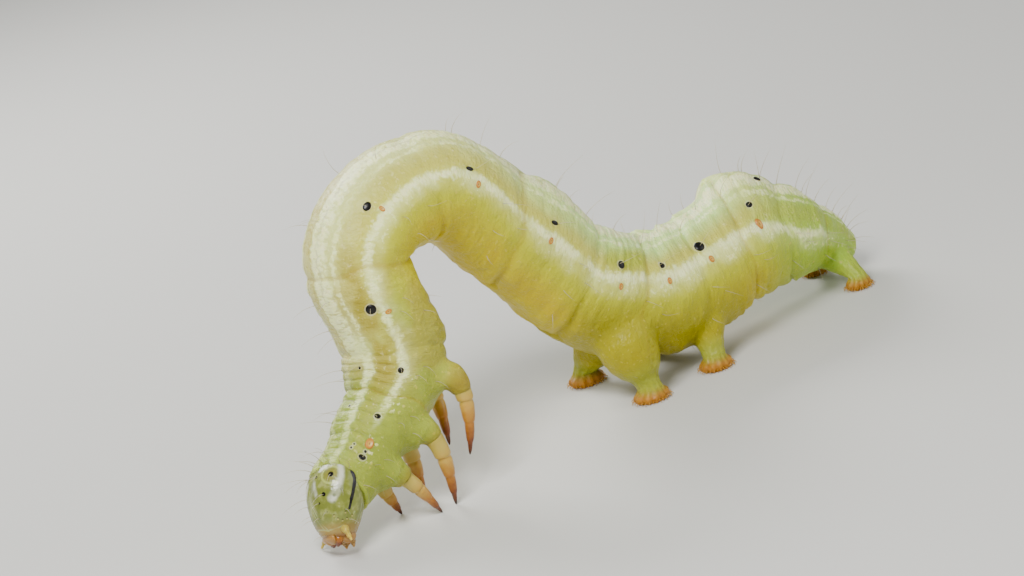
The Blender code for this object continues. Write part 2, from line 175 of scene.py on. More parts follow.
def body_frame(station):
    """Middle, tail axis, back, left side and half height at a station of the body."""
    k = min(int(station), LAST - 1)
    u = station - k
    tilt, lean, roll, height = (a + (b - a) * u for a, b in zip(FACES[k], FACES[k + 1]))
    run = (CENTRES[k + 1] - CENTRES[k]).length
    leaving, meeting = (face_frame(*FACES[i][:3])[0] * run for i in (k, k + 1))
    middle = (CENTRES[k] * (2 * u**3 - 3 * u**2 + 1) + leaving * (u**3 - 2 * u**2 + u)
              + CENTRES[k + 1] * (3 * u**2 - 2 * u**3) + meeting * (u**3 - u**2))
    return (middle, *face_frame(tilt, lean, roll), height / 2)


def own_angle(station, turn):
    """Angle from the larva's own back line, in degrees, once its twist is undone."""
    return (math.degrees(turn) - between(TWIST, station) + 180.0) % 360.0 - 180.0


def own_station(station, turn):
    """Place along the chain of segments, once the forward sweep of the folds is undone."""
    flank = abs(math.sin(turn))
    waver = noise.noise(Vector((station * 0.8, math.sin(turn) * 1.6, math.cos(turn) * 1.6)))
    swept = between(SWEEP, station) * flank**SWEEP_POWER
    return station + swept + WAVER * waver * min(station, 1.0)


def relief(station, turn):
    """Skin radius as a share of the half height."""
    along = min(own_station(station, turn), LAST - 0.001)
    inside = along - math.floor(along)
    to_fold = min(inside, 1.0 - inside)
    upward = math.cos(turn)
    above, below = max(upward, 0.0), max(-upward, 0.0)
    swell = BULGE * math.sin(math.pi * inside)
    if 0.5 < along < LAST - 0.5:
        on_back, on_flank, on_belly = FOLD_DEPTHS
        depth = on_flank + ((on_back if upward > 0.0 else on_belly) - on_flank) * upward**2
        swell -= depth * bell(to_fold / FOLD_REACH)
        swell -= VALLEY_DEPTH * bell(to_fold / VALLEY_REACH)
    count, depth = ANNULETS[int(along)]
    step = abs((inside * count + 0.5) % 1.0 - 0.5)
    shown = ANNULETS_LEAST + ANNULETS_GAIN * (above + ANNULETS_BELOW * below)
    swell -= depth * bell(step / ANNULET_REACH) * min(1.0, shown)
    for at, high, reach, side in HUMPS:
        swell += max(side * upward, 0.0) ** 2 * high * bell((station - at) / reach)
    slanted = between(STEPS, station + STEPS_SLANT * math.sin(turn))
    swell -= max(math.cos(turn + STEPS_TURN), 0.0) * slanted
    high, at, wide = FLANK_RIDGE
    swell += high * bell((abs(own_angle(station, turn)) - at) / wide)
    on_top, underneath = COLLAR
    high = (on_top + underneath) / 2 + (on_top - underneath) / 2 * upward
    swell += high * bell(station / COLLAR_REACH)
    for size, high in PUCKERS:
        pucker = noise.noise(Vector((along * size, math.sin(turn) * 2.2, upward * 2.2)))
        swell += high * pucker * (1.0 + PUCKERS_BELOW * below)
    return 1.0 + swell


def skin_point(station, turn, proud=0.0):
    """Point on the skin, proud of it by so many millimetres; the turn runs over the left side."""
    middle, tail, back, left, half = body_frame(station)
    out = math.cos(turn) * back + math.sin(turn) * left
    return middle + out * (half * relief(station, turn) + proud)


def wrinkled(point, out):
    """A point moved along its outward direction by the fine unevenness of the skin."""
    for size, depth in WRINKLES:
        point = point + out * depth * noise.noise(point / size)
    return point


def body_ring(station):
    """One ring of points on the skin."""
    middle, tail, back, left, half = body_frame(station)
    ring = []
    for j in range(AROUND):
        turn = math.tau * j / AROUND
        out = math.cos(turn) * back + math.sin(turn) * left
        ring.append(wrinkled(middle + out * half * relief(station, turn), out))
    return ring


def loop_edges(bm, verts):
    """The edges of a closed loop of vertices."""
    return [bm.edges.get((vert, verts[i - 1])) for i, vert in enumerate(verts)]


def extruded(bm, verts):
    """The next loop of vertices, extruded from a closed loop."""
    grown = set(bmesh.ops.extrude_edge_only(bm, edges=loop_edges(bm, verts))["geom"])
    return [next(e.other_vert(v) for e in v.link_edges if e.other_vert(v) in grown) for v in verts]


def grow(rings):
    """A closed tube: a circle extruded from ring to ring, with both ends filled."""
    bm = bmesh.new()
    first = bmesh.ops.create_circle(bm, segments=len(rings[0]), radius=1.0)["verts"]
    for row, ring in enumerate(rings):
        verts = extruded(bm, verts) if row else first
        for vert, point in zip(verts, ring):
            vert.co = point
    for rim in (first, verts):
        bmesh.ops.edgeloop_fill(bm, edges=loop_edges(bm, rim))
    bmesh.ops.recalc_face_normals(bm, faces=bm.faces)
    return bm


def placed(name, data):
    """A new object at the scene's origin."""
    made = bpy.data.objects.new(name, data)
    bpy.context.scene.collection.objects.link(made)
    return made


def finished(name, bm, material):
    """Turns a mesh in millimetres into a piece in metres that rides on the larva."""
    bmesh.ops.scale(bm, vec=(MM, MM, MM), verts=bm.verts)
    mesh = bpy.data.meshes.new(name)
    bm.to_mesh(mesh)
    bm.free()
    mesh.shade_smooth()
    mesh.materials.append(material)
    piece = placed(name, mesh)
    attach(piece, "root")
    return piece


def tree_of(points):
    """A search tree over points."""
    tree = kdtree.KDTree(len(points))
    for index, point in enumerate(points):
        tree.insert(point, index)
    tree.balance()
    return tree


stations = [row / ROWS for row in range(LAST * ROWS + 1)]
rings = [body_ring(station) for station in stations]
# The skin turns in under the head at the neck, and closes in the anal plate behind.
middle, tail, back, left, half = body_frame(0.0)
front = rings[0]
for share, reach in NECK_LIP:
    rings.insert(0, [middle - tail * reach + (point - middle) * share for point in front])
middle, tail, back, left, half = body_frame(LAST)
rear = rings[-1]
for row in range(1, REAR_ROWS + 1):
    swing = REAR_SWING * row / REAR_ROWS
    pushed = middle + tail * REAR_REACH * half * math.sin(swing)
    rings.append([pushed + (point - middle) * math.cos(swing) for point in rear])
stations = [0.0] * len(NECK_LIP) + stations + [LAST] * REAR_ROWS
marks = [(station, math.tau * j / AROUND) for station in stations for j in range(AROUND)]
body = grow(rings)
surface = tree_of([point for ring in rings for point in ring])

# Prolegs of the fifth and sixth abdominal segments and of the tail: fleshy stumps with a soft,
# two-lobed sole. Side, segment, share along it, foot, root, half-way, ankle and sole radius. Each
# roots so many degrees from the belly line, under the skin.
PROLEGS = (
    ("proleg_5_left", 1, 7, 0.42, (0.05, 0.02), 1.04, 0.88, 0.43, 0.56),
    ("proleg_5_right", -1, 7, 0.58, (0.25, 3.675), 0.80, 0.64, 0.43, 0.56),
    ("proleg_6_left", 1, 8, 0.46, (2.90, 0.05), 0.76, 0.52, 0.39, 0.52),
    ("proleg_6_right", -1, 8, 0.46, (2.86, 3.62), 0.76, 0.52, 0.39, 0.52),
    ("anal_proleg_left", 1, 12, 0.35, (10.15, 0.95), 0.62, 0.42, 0.32, 0.40),
    ("anal_proleg_right", -1, 12, 0.35, (10.55, 3.70), 0.62, 0.42, 0.32, 0.40),
)
PROLEG_SPREAD = 38.0
PROLEG_SUNK = 0.8
ANKLE_HEIGHT = 0.42
SOLE_HEIGHT = 0.24
SOLE_EDGE = 0.08
SOLE_EDGE_SHARE = 0.88
LOBE_DEPTH = 0.09
LOBE_SHRINK = 0.04
# Creases round the ankle: depth, closeness. Folds of the sole's edge: depth, number.
CREASES = (0.036, 34.0)
FRILL = (0.016, 11)
SOLE_SIDES = 56
ROWS_BETWEEN = 7
# Joins with the body: how far from the seam the skin is smoothed, how much that narrows, passes.
JOIN_REACH = 0.50
JOIN_NARROWS = 0.6
JOIN_PASSES = 22


def eased(rows, count):
    """Rows of numbers and points with more rows between them, on a smooth curve through all."""
    made = []
    for k in range(len(rows) - 1):
        before, after = rows[max(k - 1, 0)], rows[min(k + 2, len(rows) - 1)]
        for i in range(count):
            u = i / count
            made.append(tuple(
                q + (r - p) * 0.5 * u + (p * 2 - q * 5 + r * 4 - s) * 0.5 * u**2
                + ((q - r) * 3 + s - p) * 0.5 * u**3
                for p, q, r, s in zip(before, rows[k], rows[k + 1], after)))
    return made + [rows[-1]]


def proleg_rings(side, k, along, foot, root_radius, middle_radius, ankle_radius, sole_radius):
    """Rings of one proleg from its root inside the body to its flat sole."""
    turn = math.pi - side * math.radians(PROLEG_SPREAD)
    foot = Vector((*foot, 0.0)) - MIDDLE
    up = Vector((0.0, 0.0, 1.0))
    root = skin_point(k + along, turn, -PROLEG_SUNK * 2)
    skin = skin_point(k + along, turn, -PROLEG_SUNK / 2)
    ankle = foot + up * ANKLE_HEIGHT
    slant = (ankle - skin).normalized()
    rows = eased((
        (root, (skin - root).normalized(), root_radius, 0.0, 0.0),
        (skin, slant, root_radius, 0.0, 0.0),
        (skin.lerp(ankle, 0.5), slant, middle_radius, 0.0, 0.45),
        (skin.lerp(ankle, 0.85), (slant - up).normalized(), ankle_radius, 0.0, 0.75),
        (ankle, -up, ankle_radius, 0.3, 0.85),
        (foot + up * SOLE_HEIGHT, -up, sole_radius, 1.0, 0.94),
        (foot + up * SOLE_EDGE, -up, sole_radius, 1.0, 1.0),
        (foot, -up, sole_radius * SOLE_EDGE_SHARE, 1.0, 1.0),
    ), ROWS_BETWEEN)
    rings = []
    for point, axis, radius, lobed, share in rows:
        across = axis.cross(Vector((0.0, 1.0, 0.0))).normalized()
        side_on = across.cross(axis).normalized()
        crease = CREASES[0] * share * math.sin(share * CREASES[1])
        ring = []
        for j in range(SOLE_SIDES):
            turn = math.tau * j / SOLE_SIDES
            lobe = LOBE_DEPTH * math.cos(2 * turn) - LOBE_SHRINK
            reach = radius * (1.0 + crease + lobed * lobe)
            reach += FRILL[0] * (1.0 + lobed) * share * math.sin(FRILL[1] * turn + share * 4.0)
            spot = point + reach * (math.cos(turn) * across + math.sin(turn) * side_on)
            spot.z = max(spot.z, 0.0) if share > 0.9 else spot.z
            ring.append(spot)
        rings.append(ring)
    return rings, [row[4] for row in rows]


feet = []
foot_marks = []
for name, *row in PROLEGS:
    rings, shares = proleg_rings(*row)
    foot_marks += [(point, share) for ring, share in zip(rings, shares) for point in ring]
    feet.append(grow(rings))


# Hips of the six true legs: soft swellings on the belly of the thorax, one with the skin. The horny
# joints of the legs are grown out of them.
# Each pair: segment, share along it, spread, near tip, far tip, the tips' height, bow, longer hips.
LEGS = (("foreleg", 0, 0.70, 30, (-9.55, -0.80), (-10.20, 0.50), 0.0, 0.60, 1.00),
        ("midleg", 1, 0.62, 32, (-8.90, -0.70), (-9.15, 0.62), 0.0, 0.70, 0.95),
        ("hindleg", 2, 0.55, 34, (-8.05, -0.85), (-7.75, 0.60), 1.40, 0.95, 1.50))
# Share along a leg and radius there.
HIP_SHAPE = ((0.00, 0.60), (0.08, 0.50), (0.16, 0.43), (0.23, 0.375), (0.28, 0.33), (0.30, 0.25),
             (0.295, 0.10))
HIP_ROOT = 0.95
LEG_SUNK = 0.55
HIP_SIDES = 44


def leg_path(k, along, spread, tip, raised, bow, side):
    """Points of a true leg's bent middle line: where it roots, the skin, the knee, the tip."""
    turn = math.pi - side * math.radians(spread)
    skin = skin_point(k + along, turn)
    out = (skin - body_frame(k + along)[0]).normalized()
    return skin - out * LEG_SUNK, skin, skin + out * bow, Vector((*tip, raised)) - MIDDLE


def limb_row(path, share, radius):
    """Middle and radius of a leg at a share of its length."""
    root, skin, knee, tip = path
    return skin * (1 - share)**2 + knee * 2 * share * (1 - share) + tip * share**2, radius, share


def tube_rings(rows, sides):
    """Rings round the points of a path: each row holds a point and a radius."""
    rings = []
    side_on = None
    for i, (point, radius, *rest) in enumerate(rows):
        axis = (rows[min(i + 1, len(rows) - 1)][0] - rows[max(i - 1, 0)][0]).normalized()
        side_on = axis.orthogonal() if side_on is None else side_on - axis * side_on.dot(axis)
        side_on.normalize()
        across = axis.cross(side_on)
        turns = [math.tau * j / sides for j in range(sides)]
        rings.append([point + radius * (math.cos(turn) * side_on + math.sin(turn) * across)
                      for turn in turns])
    return rings


for name, k, along, spread, near_tip, far_tip, raised, bow, longer in LEGS:
    for side, tip in ((1, near_tip), (-1, far_tip)):
        path = leg_path(k, along, spread, tip, raised, bow, side)
        rows = [(path[0], HIP_ROOT, 0.0)]
        rows += [limb_row(path, share * longer, radius) for share, radius in HIP_SHAPE]
        rows = eased(rows, 5)
        rings = []
        for (middle, radius, share), ring in zip(rows, tube_rings(rows, HIP_SIDES)):
            centre = ring[0].lerp(ring[HIP_SIDES // 2], 0.5)
            ring = [wrinkled(point, (point - centre).normalized()) for point in ring]
            foot_marks += [(point, -share) for point in ring]
            rings.append(ring)
        feet.append(grow(rings))


def united(bm, others):
    """One closed mesh from a mesh and others that cross it."""
    scratch = []
    for other in [bm] + others:
        mesh = bpy.data.meshes.new("scratch")
        other.to_mesh(mesh)
        other.free()
        scratch.append(bpy.data.objects.new("scratch", mesh))
    group = bpy.data.collections.new("scratch")
    bpy.context.scene.collection.children.link(group)
    for obj in scratch[1:]:
        group.objects.link(obj)
    bpy.context.scene.collection.objects.link(scratch[0])
    modifier = scratch[0].modifiers.new("union", "BOOLEAN")
    modifier.operation = "UNION"
    modifier.operand_type = "COLLECTION"
    modifier.collection = group
    modifier.solver = "MANIFOLD"
    graph = bpy.context.evaluated_depsgraph_get()
    made = bmesh.new()
    made.from_object(scratch[0], graph)
    for obj in scratch:
        bpy.data.objects.remove(obj, do_unlink=True)
    bpy.data.collections.remove(group)
    return made


foot_tree = tree_of([point for point, share in foot_marks])
skin = united(body, feet)
# A vertex that is no old one was made where two meshes cross, so it lies on a seam.
EXACT = 0.001
seam = [vert.co.copy() for vert in skin.verts
        if surface.find(vert.co)[2] > EXACT and foot_tree.find(vert.co)[2] > EXACT]
seam_tree = tree_of(seam)
near_seam = [(seam_tree.find(vert.co)[2], vert) for vert in skin.verts]
for step in range(JOIN_PASSES):
    reach = JOIN_REACH * (1.0 - JOIN_NARROWS * step / JOIN_PASSES)
    softened = [vert for distance, vert in near_seam if distance < reach]
    bmesh.ops.smooth_vert(skin, verts=softened, factor=0.5, use_axis_x=True, use_axis_y=True,
                          use_axis_z=True)

# Black plates: each seta of the flank stands on a small, round, glossy black plate, largest on the
# first and seventh abdominal segments. Station, angle, radius, and how much longer than wide.
BLACK_PLATES = (
    (0.46, 69, 0.125, 1.0), (0.60, 69, 0.050, 1.0), (0.58, 46, 0.038, 1.0), (0.68, 48, 0.034, 1.0),
    (1.42, 64, 0.110, 1.0), (1.56, 16, 0.045, 1.0), (2.56, 76, 0.100, 1.0), (2.64, 26, 0.050, 1.0),
    (3.54, 66, 0.175, 1.0), (4.40, 58, 0.130, 1.25), (5.16, 76, 0.078, 2.0), (6.04, 76, 0.078, 1.75),
    (7.04, 68, 0.135, 1.0), (7.74, 58, 0.120, 1.0), (8.58, 56, 0.190, 1.0), (9.84, 54, 0.115, 1.0),
    (10.32, 30, 0.130, 1.0),
)
skin_hull = bvhtree.BVHTree.FromBMesh(skin)
PLATE_RISE = 0.34
PLATE_SIDES = 20
PLATE_RINGS = 8
NEARBY = 0.02


def ball(bm, sides, rows, radius=1.0):
    """The vertices of a new ball round the origin."""
    return bmesh.ops.create_uvsphere(bm, u_segments=sides, v_segments=rows, radius=radius)["verts"]


def flank_marks(table):
    """Each row of marks on the left side and again on the right, mirrored over the own back line."""
    for station, angle, *rest in table:
        twist = between(TWIST, station)
        for side in (1, -1):
            yield side, station, math.radians(angle if side > 0 else 2 * twist - angle), rest


def set_on_skin(bm, verts, station, turn):
    """Places vertices drawn round the origin on the skin: x to the tail, y up the flank, z outward.

    Gives the point of the skin where they are.
    """
    here = skin_hull.find_nearest(skin_point(station, turn))[0]
    further = min(station + NEARBY, LAST)
    ahead = skin_point(further, turn) - skin_point(further - 2 * NEARBY, turn)
    upward = skin_point(station, turn - NEARBY) - skin_point(station, turn + NEARBY)
    out = ahead.cross(upward).normalized()
    if out.dot(here - body_frame(station)[0]) < 0.0:
        out.negate()
    ahead.normalize()
    upward = out.cross(ahead)
    seat = Matrix((ahead, upward, out)).transposed().to_4x4()
    seat.translation = here
    bmesh.ops.transform(bm, matrix=seat, verts=verts)
    return here


plates = bmesh.new()
plate_places = []
for side, station, turn, (radius, stretch) in flank_marks(BLACK_PLATES):
    verts = ball(plates, PLATE_SIDES, PLATE_RINGS, radius)
    bmesh.ops.scale(plates, vec=(stretch, 1.0, PLATE_RISE), verts=verts)
    plate_places.append((set_on_skin(plates, verts, station, turn), radius))
plate_tree = tree_of([place for place, radius in plate_places])

# The skin's coordinates for its markings: place along the segments, place round from the back
# line to the belly line, share down a proleg, and distance outside the nearest black plate.
layers = {name: skin.verts.layers.float.new(name) for name in ("along", "around", "foot", "ring")}
for vert in skin.verts:
    station, turn = marks[surface.find(vert.co)[1]]
    vert[layers["along"]] = own_station(station, turn)
    vert[layers["around"]] = abs(own_angle(station, turn)) / 180.0
    place, index, distance = foot_tree.find(vert.co)
    vert[layers["foot"]] = foot_marks[index][1] * max(0.0, 1.0 - distance / JOIN_REACH)
    place, index, distance = plate_tree.find(vert.co)
    vert[layers["ring"]] = min(distance - plate_places[index][1], 1.0)


def linear(code):
    """An sRGB hex colour turned to linear, with alpha."""
    parts = [int(code[i:i + 2], 16) / 255.0 for i in (1, 3, 5)]
    return tuple(p / 12.92 if p <= 0.04045 else ((p + 0.055) / 1.055) ** 2.4 for p in parts) + (1.0,)


def add(tree, kind, inputs=None, **settings):
    """Adds a node with its settings and inputs: values, sockets, or nodes by their first output."""
    node = tree.nodes.new("ShaderNode" + kind)
    for name, value in settings.items():
        setattr(node, name, value)
    for key, value in (inputs or {}).items():
        socket = node.inputs[key]
        value = value.outputs[0] if isinstance(value, bpy.types.Node) else value
        if isinstance(value, bpy.types.NodeSocket):
            tree.links.new(value, socket)
        else:
            socket.default_value = value
    return node


def blank_material(name):
    """A new material and its node tree, still empty."""
    material = bpy.data.materials.new(name)
    material.use_nodes = True
    material.node_tree.nodes.clear()
    return material, material.node_tree


def painted(tree, ground, sources, coats):
    """Coats over a ground: colour, strength, and slopes (source, from, to, weakest, strongest)."""
    # A Mix node takes its two colours in its inputs 6 and 7, and gives a colour in its output 2.
    for code, strength, *slopes in coats:
        share = strength
        for source, low, high, *ends in slopes:
            weakest, strongest = ends or (0.0, 1.0)
            slope = add(tree, "MapRange", {
                "Value": sources[source], "From Min": low, "From Max": high, "To Min": weakest,
                "To Max": strongest}, interpolation_type="SMOOTHSTEP")
            share = add(tree, "Math", {0: slope, 1: share}, operation="MULTIPLY")
        ground = add(tree, "Mix", {
            "Factor": share, 6: ground, 7: linear(code)}, data_type="RGBA").outputs[2]
    return ground


def set_stops(ramp, tones):
    """Gives a colour ramp its stops, from a table of places and colours."""
    for spot, code in tones[1:-1]:
        ramp.elements.new(spot)
    for element, (spot, code) in zip(ramp.elements, tones):
        element.position = spot
        element.color = linear(code)


# Larval cuticle: a soft skin some hundredths of a millimetre thick, clear and wet, over white fat
# and yellow blood. Light enters it and comes out nearby, so edges glow, and highlights are small
# and sharp on its fine wrinkles. White fat shows as crinkled stripes and grains.
cuticle, tree = blank_material("larval_cuticle")
place = add(tree, "TexCoord").outputs["Object"]
sources = {name: add(tree, "Attribute", attribute_name=name).outputs["Fac"]
           for name in layers}
# Noises: size of their lumps in millimetres, detail.
NOISES = {"lumps": (0.45, 3.0), "fine": (0.16, 2.0), "patch": (1.4, 1.0), "blotch": (0.8, 2.0),
          "grains": (0.13, 1.0), "pores": (0.09, 2.0), "sheen": (0.25, 1.0), "clouds": (1.1, 2.0)}
for name, (size, detail) in NOISES.items():
    sources[name] = add(tree, "TexNoise", {
        "Vector": place, "Scale": 1.0 / (size * MM), "Detail": detail})
sources["fold"] = add(tree, "Math", {0: sources["along"], 1: 1.0}, operation="PINGPONG")
# The stripes waver: the place round the body is shifted by the noises before they are drawn.
SHIFTS = (("wavy", "around", "lumps", 0.055), ("crinkled", "wavy", "fine", 0.070))
for name, start, shaker, shift in SHIFTS:
    centred = add(tree, "Math", {0: sources[shaker], 1: 0.5}, operation="SUBTRACT")
    sources[name] = add(tree, "Math", {0: centred, 1: shift, 2: sources[start]},
                        operation="MULTIPLY_ADD")
# Creases run round the body, so the noise that draws them is stretched that way.
stretched = {}
for axis, name, times in (("X", "along", 30.0), ("Y", "around", 16.0)):
    stretched[axis] = add(tree, "Math", {0: sources[name], 1: times}, operation="MULTIPLY")
creases = add(tree, "CombineXYZ", stretched)
sources["crimp"] = add(tree, "TexNoise", {"Vector": creases, "Scale": 1.0, "Detail": 3.0})
# Tones of the skin from the back line to the belly line.
TONES = ((0.00, "#CDD07A"), (0.20, "#D4DA88"), (0.36, "#C9C65A"), (0.46, "#C2C446"),
         (0.58, "#BEBE1E"), (0.74, "#C6BB06"), (1.00, "#CAB604"))
ramp = add(tree, "ValToRGB", {"Fac": sources["wavy"]})
set_stops(ramp.color_ramp, TONES)
# Greener front, golden belly, pale rear, tan and green windows to the gut, white fat in stripes and
# grains, yellow creases darkened with painted shade, pale rims round the black plates, pale prolegs
# with orange soles.
FAT = "#F8FFBC"
window = (("wavy", 0.23, 0.29), ("wavy", 0.40, 0.34), ("clouds", 0.38, 0.55))
crumbly = ("crimp", 0.38, 0.49, 0.32, 1.0)
broken = ("blotch", 0.36, 0.54, 0.30, 1.0)
colour = painted(tree, ramp, sources, (
    ("#8FA43E", 1.0, ("along", 3.1, 1.9), ("around", 0.44, 0.30, 0.3, 0.9)),
    ("#A0AC3C", 1.0, ("along", 4.1, 3.0), ("around", 0.34, 0.50, 0.2, 0.9)),
    ("#95A134", 1.0, ("along", 2.2, 0.8), ("around", 0.30, 0.45, 0.3, 0.9)),
    ("#C8B200", 1.0, ("around", 0.56, 0.78), ("along", 3.9, 4.8), ("along", 11.4, 10.4),
     ("patch", 0.35, 0.65, 0.35, 0.95)),
    ("#8E8A00", 0.7, ("around", 0.50, 0.72), ("along", 6.6, 7.3), ("along", 10.4, 8.6)),
    ("#B09B3E", 0.7, ("around", 0.070, 0.035), ("along", 1.9, 2.9), ("along", 5.2, 4.4)),
    ("#C6F08E", 0.65, ("along", 5.2, 7.0), ("around", 0.38, 0.26), ("along", 10.6, 9.6)),
    ("#A0C438", 1.0, ("along", 9.8, 11.6, 0.0, 0.85)),
    ("#AC993A", 0.5, ("along", 1.7, 2.6), ("along", 4.3, 3.8), ("around", 0.02, 0.10),
     ("patch", 0.36, 0.56)),
    ("#A09222", 0.85, *window, ("along", 4.6, 3.6, 0.30, 1.0), ("along", 1.0, 3.2, 0.25, 1.0)),
    ("#A8B20E", 0.70, ("wavy", 0.24, 0.31), ("wavy", 0.42, 0.35), ("along", 7.02, 7.22),
     ("along", 8.05, 7.85)),
    (FAT, 0.50, ("wavy", 0.40, 0.43), ("wavy", 0.57, 0.45), ("clouds", 0.36, 0.58, 0.25, 1.0),
     ("along", 1.6, 3.2), ("along", 12.6, 11.0)),
    (FAT, 0.92, ("crinkled", 0.388, 0.432), ("crinkled", 0.480, 0.442), crumbly, broken,
     ("along", 1.0, 1.7), ("along", 12.6, 11.0)),
    (FAT, 0.70, ("crinkled", 0.208, 0.228), ("crinkled", 0.250, 0.230), crumbly, broken,
     ("along", 2.6, 3.6)),
    (FAT, 0.85, ("crinkled", 0.160, 0.195), ("crinkled", 0.260, 0.225), crumbly, ("along", 3.6, 2.6),
     ("along", 0.4, 2.6, 0.45, 1.0)),
    (FAT, 0.95, ("crinkled", 0.045, 0.075), ("crinkled", 0.200, 0.160), crumbly, ("along", 2.4, 3.4)),
    ("#ACA878", 0.45, ("crinkled", 0.098, 0.112), ("crinkled", 0.132, 0.116), broken,
     ("along", 3.0, 3.6), ("along", 6.6, 5.8)),
    (FAT, 0.35, ("crinkled", 0.049, 0.035), crumbly),
    (FAT, 0.60, ("grains", 0.58, 0.66), ("around", 0.38, 0.42), ("around", 0.56, 0.50),
     ("clouds", 0.45, 0.58)),
    ("#F0E9A8", 0.5, ("grains", 0.62, 0.72), ("clouds", 0.42, 0.60),
     ("around", 0.72, 0.30, 0.10, 0.75)),
    ("#D9CA53", 0.5, ("grains", 0.64, 0.76), ("around", 0.46, 0.52)),
    # Painted shade: the folds between the segments are painted a darker yellow, from the first fold
    # back.
    ("#AD9618", 0.35, ("fold", 0.05, 0.0), ("along", 0.5, 0.8)),
    ("#EFEBC0", 0.45, ("ring", 0.050, 0.020)),
    ("#96811F", 0.8, ("foot", -0.06, -0.34)),
    ("#99A334", 1.0, ("foot", 0.35, 0.75, 0.0, 0.75)),
    ("#AC5A16", 1.0, ("foot", 0.80, 0.96, 0.0, 0.75))))
height = sources["crimp"]
for name, share in (("fine", 0.8), ("pores", 0.5), ("grains", 0.4)):
    height = add(tree, "Math", {0: sources[name], 1: share, 2: height}, operation="MULTIPLY_ADD")
bump = add(tree, "Bump", {"Height": height, "Strength": 0.8, "Distance": 0.06 * MM})
gloss = add(tree, "MapRange", {
    "Value": sources["sheen"], "From Min": 0.3, "From Max": 0.7, "To Min": 0.30, "To Max": 0.46})
shader = add(tree, "BsdfPrincipled", {
    "Base Color": colour, "Roughness": gloss, "Normal": bump,
    "Specular IOR Level": 0.26, "Subsurface Weight": 0.7, "Subsurface Radius": (1.0, 0.86, 0.32),
    "Subsurface Scale": 0.65 * MM})
add(tree, "OutputMaterial", {"Surface": shader})
skin_piece = finished("skin", skin, cuticle)
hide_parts("prothorax", "mesothorax", "metathorax",
            *("abdomen_%d" % n for n in range(1, 11)), *(row[0] for row in PROLEGS))

# Black horn: hard, smooth, glossy plates of dark cuticle, slightly domed, with a sharp highlight.
black_horn, tree = blank_material("black_horn")
place = add(tree, "TexCoord").outputs["Object"]
pitted = add(tree, "TexNoise", {"Vector": place, "Scale": 1.0 / (0.05 * MM), "Detail": 2.0})
bump = add(tree, "Bump", {"Height": pitted, "Strength": 0.3, "Distance": 0.01 * MM})
shader = add(tree, "BsdfPrincipled", {
    "Base Color": linear("#080605"), "Roughness": 0.34, "Normal": bump, "IOR": 1.4})
add(tree, "OutputMaterial", {"Surface": shader})
finished("black_plates", plates, black_horn)

# Spiracles: the breathing holes of the flank, each an oval rim of tan horn round a pale sieve with
# a dark slit. The rims are grown from the skin and stand a little proud of it.
# Station, angle, half length along the body, half height.
SPIRACLES = ((0.80, 70, 0.175, 0.130), (3.48, 82, 0.075, 0.110), (4.42, 72, 0.075, 0.110),
             (5.22, 90, 0.085, 0.125), (6.04, 94, 0.085, 0.120), (7.08, 88, 0.080, 0.115),
             (7.76, 74, 0.080, 0.115), (8.62, 72, 0.085, 0.120), (9.80, 74, 0.130, 0.190))
# Of the rim: share of the half size, height, and how much of it is slit.
RIM_PROFILE = ((1.15, -0.03, 0.0), (1.0, 0.010, 0.0), (0.90, 0.030, 0.0), (0.74, 0.034, 0.1),
               (0.60, 0.026, 0.5), (0.34, 0.022, 0.8), (0.12, 0.010, 1.0))
SPIRACLE_SIDES = 24
rims = bmesh.new()
depth_layer = rims.verts.layers.float.new("depth")
for side, station, turn, (half_long, half_high) in flank_marks(SPIRACLES):
    verts = bmesh.ops.create_circle(rims, segments=SPIRACLE_SIDES, radius=1.0)["verts"]
    whole = []
    for share, lift, depth in RIM_PROFILE:
        verts = extruded(rims, verts) if whole else verts
        for i, vert in enumerate(verts):
            turned = math.tau * i / SPIRACLE_SIDES
            x, y = half_long * math.cos(turned), half_high * math.sin(turned)
            vert.co = (share * x, share * y, lift)
            vert[depth_layer] = depth
        whole += verts
    bmesh.ops.edgeloop_fill(rims, edges=loop_edges(rims, verts))
    set_on_skin(rims, whole, station, turn)
bmesh.ops.recalc_face_normals(rims, faces=rims.faces)
# Tan horn: thin dry cuticle, satin, amber in the thick rim, pale in the sieve, brown in the slit.
tan_horn, tree = blank_material("tan_horn")
sources = {"depth": add(tree, "Attribute", attribute_name="depth").outputs["Fac"]}
colour = painted(tree, linear("#CFA548"), sources, (
    ("#BC7404", 0.9, ("depth", 0.75, 0.30)), ("#8E5812", 0.7, ("depth", 0.80, 0.98))))
shader = add(tree, "BsdfPrincipled", {
    "Base Color": colour, "Roughness": 0.4, "IOR": 1.5,
    "Subsurface Weight": 0.3, "Subsurface Radius": (1.0, 0.8, 0.3), "Subsurface Scale": 0.1 * MM})
add(tree, "OutputMaterial", {"Surface": shader})
finished("spiracles", rims, tan_horn)

# The head: a thin, hard, clear capsule of two rounded cheeks that meet in the cleft of the crown,
# with the frons let in between them as a three-cornered plate. Its marks lie in the cuticle.
HEAD_TILT = 72.0
HEAD_AHEAD = 0.44
HEAD_BELOW = 0.10
HEAD_WIDTH = 2.10
HEAD_DEPTH = 1.80
# Each ring of the capsule: how far down, share of the width and depth, shift to the face.
HEAD_RINGS = ((-1.30, 0.34, 0.38, -0.16), (-1.18, 0.62, 0.66, -0.14), (-0.95, 0.84, 0.88, -0.10),
              (-0.60, 0.97, 0.99, -0.04), (-0.20, 1.00, 1.00, 0.00), (0.20, 0.96, 0.95, 0.02),
              (0.55, 0.86, 0.84, 0.04), (0.85, 0.71, 0.70, 0.05), (1.05, 0.56, 0.56, 0.05),
              (1.13, 0.36, 0.36, 0.05))
CLEFT_DEPTH = 0.10
CLEFT_HALF_ANGLE = 0.30
CLEFT_END = 0.45
